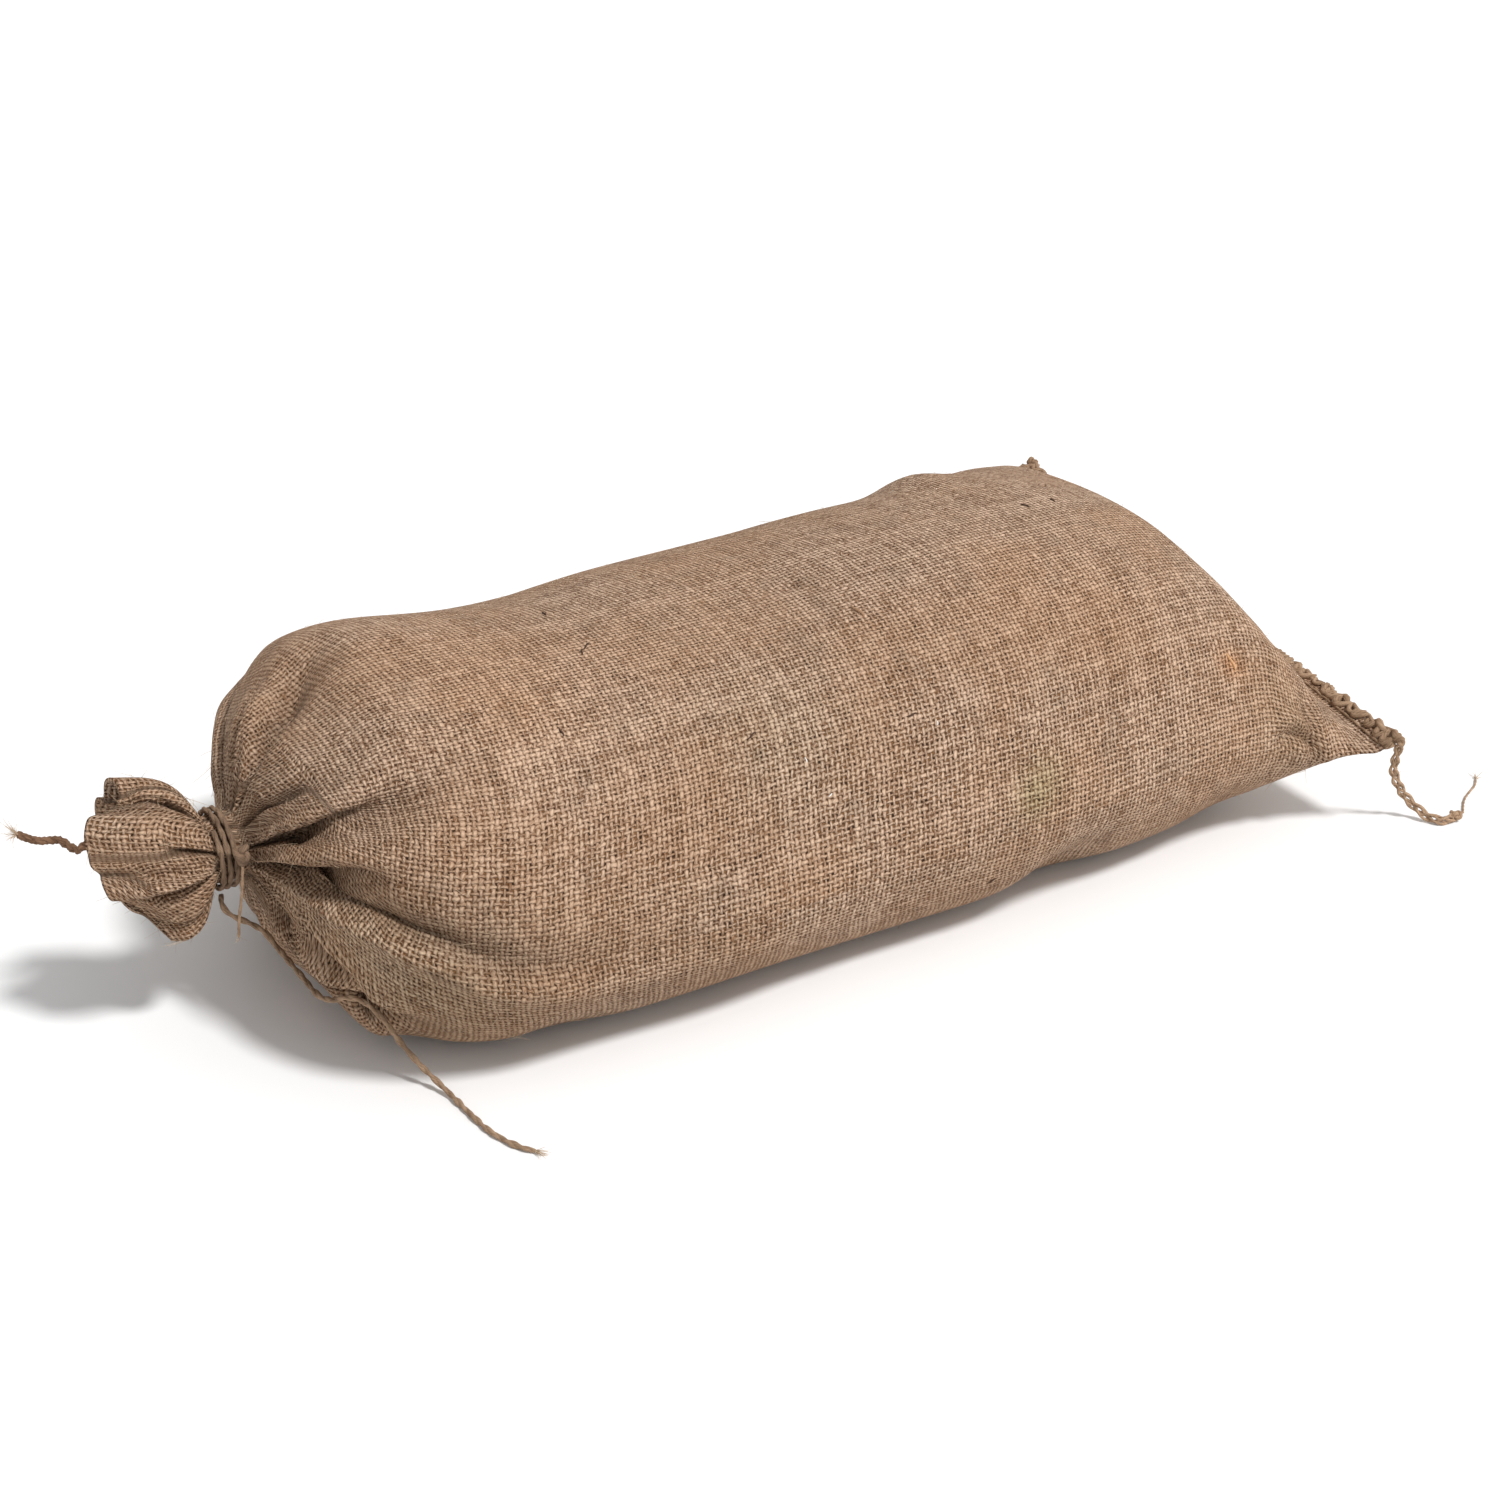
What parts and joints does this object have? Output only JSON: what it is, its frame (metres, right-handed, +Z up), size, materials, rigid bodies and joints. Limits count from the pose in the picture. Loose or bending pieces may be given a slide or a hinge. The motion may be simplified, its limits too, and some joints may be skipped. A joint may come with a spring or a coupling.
{
  "type": "sandbag",
  "caption": "Filled jute sandbag lying on its side, a woven sack with an overlocked seam, its neck gathered and tied with twine above a short frill.",
  "frame": {"origin": "under the middle of the bag, on the surface it lies on", "axes": "+Z up; +X along the bag from its tied neck to its sewn bottom end; +Y to its sewn back side"},
  "size_m": [0.5868, 0.2871, 0.1236],
  "materials": {
    "jute_cloth": "matte open plain weave",
    "sewing_twine": "matte twisted thread",
    "tie_twine": "matte twisted twine"
  },
  "bodies": {
    "root": {"bag": "jute_cloth", "bottom_seam": "sewing_twine", "side_seam": "sewing_twine", "neck_tie": "tie_twine", "tie_knot": "tie_twine", "tie_long_end": "tie_twine", "tie_short_end": "tie_twine", "seam_tail": "sewing_twine", "seam_strand": "sewing_twine", "mouth_tail": "sewing_twine"}
  },
  "joints": []
}
